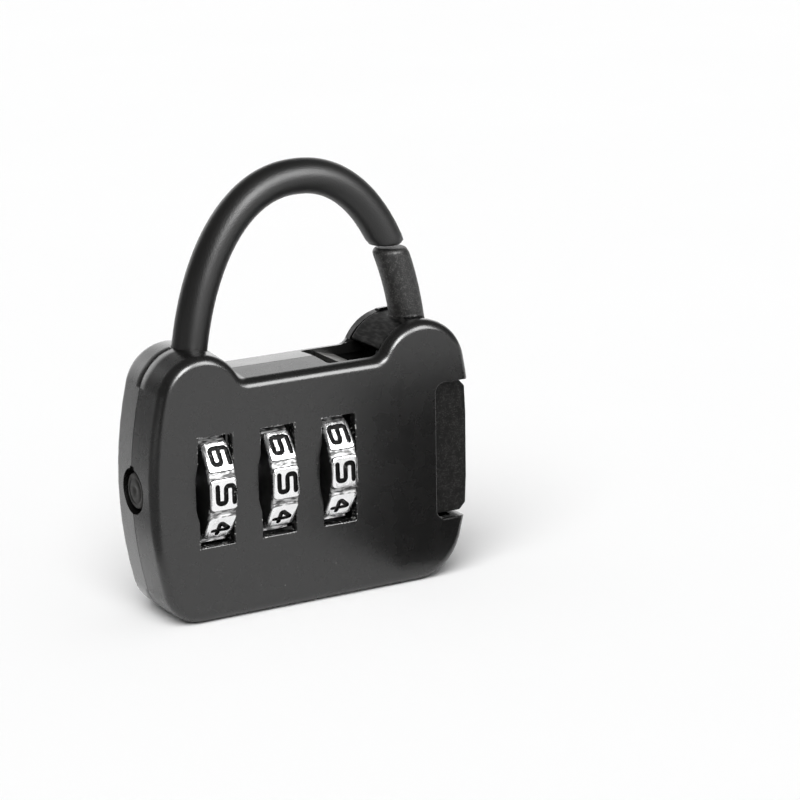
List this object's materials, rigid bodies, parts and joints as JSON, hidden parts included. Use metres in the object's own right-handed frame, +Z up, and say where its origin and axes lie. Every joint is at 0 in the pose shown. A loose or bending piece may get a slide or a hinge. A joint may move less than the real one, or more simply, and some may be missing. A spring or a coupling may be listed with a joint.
{
  "type": "luggage combination padlock",
  "caption": "Small black die-cast padlock with chrome number dials, a fixed C shackle, an inward-swinging gate and a side push button.",
  "frame": {"origin": "middle of the underside, at the centre of the bounding box in X and Y", "axes": "+X along the front face towards the push button, +Y from the front face to the back face, +Z up to the shackle"},
  "size_m": [0.0406, 0.0138, 0.05],
  "materials": {
    "black_paint": "satin black paint on zinc casting",
    "cast_black": "black, slightly grainy casting",
    "chrome": "bright plated",
    "zinc": "bare cast zinc",
    "spring_steel": "bright steel"
  },
  "bodies": {
    "case": {"front_cover": "black_paint", "rear_cover": "black_paint", "shackle_hook": "black_paint", "gate_pivot_pin": "spring_steel", "gate_spring": "spring_steel", "button_spring": "spring_steel", "spindle_spring": "spring_steel", "detent_spring": "spring_steel", "assembly_pin_1": "spring_steel", "assembly_pin_2": "spring_steel", "assembly_pin_3": "spring_steel", "assembly_pin_4": "spring_steel"},
    "gate": {"gate_arm": "cast_black", "drive_pin": "spring_steel"},
    "button": {"side_button": "cast_black", "gate_drive_plate": "zinc", "locking_bar": "zinc"},
    "spindle_group": {"spindle": "zinc", "sleeve_spacer_1": "zinc", "sleeve_spacer_2": "zinc", "retaining_clip": "spring_steel"},
    "reset": {"reset_screw": "zinc"},
    "wheel_1": {"dial_1": "chrome"},
    "sleeve_1": {"code_sleeve_1": "zinc"},
    "wheel_2": {"dial_2": "chrome"},
    "sleeve_2": {"code_sleeve_2": "zinc"},
    "wheel_3": {"dial_3": "chrome"},
    "sleeve_3": {"code_sleeve_3": "zinc"}
  },
  "joints": [
    {"name": "button_press", "type": "slide", "parent": "case", "child": "button", "axis": [-1, 0, 0], "range_m": [0, 0.0026], "stiffness_N_per_m": 400, "springref_m": -0.001, "deforming": ["button_spring"]},
    {"name": "gate_swing", "type": "hinge", "parent": "case", "child": "gate", "pos_m": [0.014, 0, 0.02496], "axis": [0, -1, 0], "range_deg": [0, 60], "deforming": ["gate_spring"]},
    {"name": "reset_turn", "type": "hinge", "parent": "case", "child": "reset", "pos_m": [-0.0185, 0, 0.0151], "axis": [1, 0, 0], "range_deg": [0, 90]},
    {"name": "spindle_shift", "type": "slide", "parent": "case", "child": "spindle_group", "axis": [1, 0, 0], "range_m": [0, 0.0012], "stiffness_N_per_m": 300, "springref_m": -0.001, "deforming": ["spindle_spring"]},
    {"name": "dial_1_spin", "type": "hinge", "parent": "case", "child": "wheel_1", "pos_m": [-0.01248, 0, 0.0151], "axis": [1, 0, 0], "continuous": true},
    {"name": "sleeve_1_spin", "type": "hinge", "parent": "spindle_group", "child": "sleeve_1", "pos_m": [-0.01248, 0, 0.0151], "axis": [1, 0, 0], "continuous": true},
    {"name": "dial_2_spin", "type": "hinge", "parent": "case", "child": "wheel_2", "pos_m": [-0.00478, 0, 0.0151], "axis": [1, 0, 0], "continuous": true},
    {"name": "sleeve_2_spin", "type": "hinge", "parent": "spindle_group", "child": "sleeve_2", "pos_m": [-0.00478, 0, 0.0151], "axis": [1, 0, 0], "continuous": true},
    {"name": "dial_3_spin", "type": "hinge", "parent": "case", "child": "wheel_3", "pos_m": [0.00262, 0, 0.0151], "axis": [1, 0, 0], "continuous": true},
    {"name": "sleeve_3_spin", "type": "hinge", "parent": "spindle_group", "child": "sleeve_3", "pos_m": [0.00262, 0, 0.0151], "axis": [1, 0, 0], "continuous": true}
  ],
  "couplings": [
    {"joint": "gate_swing", "follows": "button_press", "rad_per_m": 402.7},
    {"joint": "reset_turn", "follows": "spindle_shift", "rad_per_m": 1309},
    {"joint": "sleeve_1_spin", "follows": "dial_1_spin", "ratio": 1},
    {"joint": "sleeve_2_spin", "follows": "dial_2_spin", "ratio": 1},
    {"joint": "sleeve_3_spin", "follows": "dial_3_spin", "ratio": 1}
  ]
}
